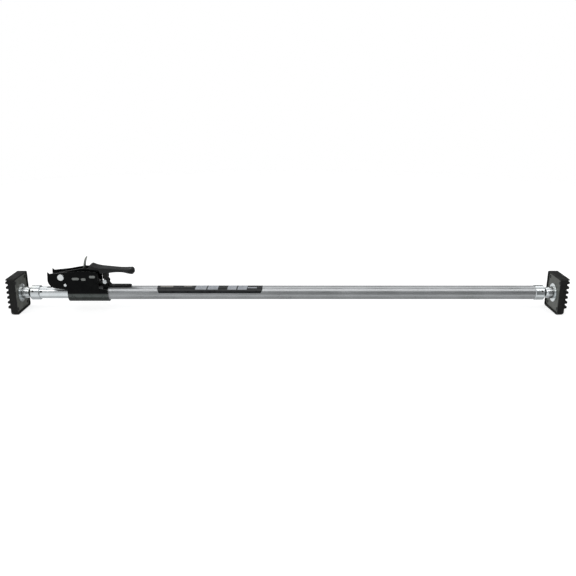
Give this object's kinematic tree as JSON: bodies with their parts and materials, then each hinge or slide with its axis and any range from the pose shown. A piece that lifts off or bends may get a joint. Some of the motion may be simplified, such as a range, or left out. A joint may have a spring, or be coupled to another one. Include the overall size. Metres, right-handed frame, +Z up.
{
  "type": "ratcheting cargo bar",
  "caption": "Telescoping truck-bed cargo bar: a ratchet handle drives a racked inner tube out of a grey outer tube, between swivelling rubber feet.",
  "frame": {"origin": "on the surface that the feet stand on, under the middle of the closed bar", "axes": "+X along the bar away from the ratchet, +Y away from the viewer, +Z up towards the handle"},
  "size_m": [1.016, 0.064, 0.1026],
  "materials": {
    "grey_tube": "fine hammered grey powder coat, satin",
    "zinc": "bright zinc plate, lightly scuffed",
    "zinc_bright": "bright zinc plate on pressed steel",
    "black_steel": "black powder coat, satin",
    "black_oxide": "black oxide, lightly oiled",
    "grip_plastic": "moulded black plastic, fine texture",
    "rubber": "moulded black rubber, matt",
    "plate_paint": "dark grey paint, semi-gloss",
    "spring_steel": "bare drawn wire",
    "tab_steel": "plain zinc sheet, dull",
    "nylon": "black nylon",
    "decal": "gloss vinyl with plain light bars, no lettering"
  },
  "bodies": {
    "frame": {"outer_tube": "grey_tube", "tube_bushing": "nylon", "tube_label": "decal", "ratchet_housing": "black_steel", "housing_rivets": "black_steel", "spacer_rivet": "zinc", "main_pivot_pin": "zinc", "pivot_washers": "nylon", "holding_pawl_pin": "black_steel", "holding_pawl_spacers": "black_oxide", "holding_pawl_spring": "spring_steel", "lever_bracket": "black_steel", "lever_pin": "zinc", "right_ferrule": "zinc_bright", "right_ferrule_pins": "spring_steel"},
    "handle": {"pivot_sleeve": "zinc", "handle_arms": "black_steel", "handle_grip": "grip_plastic", "grip_rivets": "black_oxide", "handle_stop": "rubber", "drive_pawl_pin": "black_oxide", "drive_pawl_spacers": "black_oxide", "drive_pawl_spring": "spring_steel"},
    "drive_pawl": {"drive_pawl": "black_oxide", "thumb_tab": "tab_steel", "tab_rivet": "black_oxide"},
    "holding_pawl": {"holding_pawl": "black_oxide"},
    "release_lever": {"release_lever": "black_steel"},
    "inner": {"inner_tube": "zinc", "inner_tube_plug": "nylon", "left_ferrule": "zinc_bright", "left_ferrule_pins": "spring_steel"},
    "left_stud": {"left_ball_stud": "black_oxide"},
    "left_foot": {"left_socket_cup": "zinc_bright", "left_foot_plate": "plate_paint", "left_foot_pad": "rubber", "left_cup_rivets": "zinc", "left_pad_rivets": "black_oxide"},
    "right_stud": {"right_ball_stud": "black_oxide"},
    "right_foot": {"right_socket_cup": "zinc_bright", "right_foot_plate": "plate_paint", "right_foot_pad": "rubber", "right_cup_rivets": "zinc", "right_pad_rivets": "black_oxide"}
  },
  "joints": [
    {"name": "extension", "type": "slide", "parent": "frame", "child": "inner", "axis": [-1, 0, 0], "range_m": [0, 0.762]},
    {"name": "handle_swing", "type": "hinge", "parent": "frame", "child": "handle", "pos_m": [-0.4125, 0, 0.0675], "axis": [0, -1, 0], "range_deg": [0, 45]},
    {"name": "drive_pawl_release", "type": "hinge", "parent": "handle", "child": "drive_pawl", "pos_m": [-0.382, 0, 0.052], "axis": [0, 1, 0], "range_deg": [0, 9], "stiffness_Nm_per_rad": 0.25, "springref_deg": -20.05},
    {"name": "release_lever_squeeze", "type": "hinge", "parent": "frame", "child": "release_lever", "pos_m": [-0.3345, 0, 0.0575], "axis": [0, -1, 0], "range_deg": [0, 15], "stiffness_Nm_per_rad": 0.3, "springref_deg": -17.19},
    {"name": "holding_pawl_lift", "type": "hinge", "parent": "frame", "child": "holding_pawl", "pos_m": [-0.3505, 0, 0.0525], "axis": [0, 1, 0], "range_deg": [0, 13.01]},
    {"name": "left_foot_spin", "type": "hinge", "parent": "inner", "child": "left_stud", "pos_m": [-0.4845, 0, 0.034], "axis": [1, 0, 0], "continuous": true},
    {"name": "left_foot_tilt", "type": "hinge", "parent": "left_stud", "child": "left_foot", "pos_m": [-0.4845, 0, 0.034], "axis": [0, 1, 0], "range_deg": [-20, 20]},
    {"name": "right_foot_spin", "type": "hinge", "parent": "frame", "child": "right_stud", "pos_m": [0.4845, 0, 0.034], "axis": [1, 0, 0], "continuous": true},
    {"name": "right_foot_tilt", "type": "hinge", "parent": "right_stud", "child": "right_foot", "pos_m": [0.4845, 0, 0.034], "axis": [0, 1, 0], "range_deg": [-20, 20]}
  ],
  "couplings": [
    {"joint": "holding_pawl_lift", "follows": "release_lever_squeeze", "ratio": 0.8667}
  ]
}
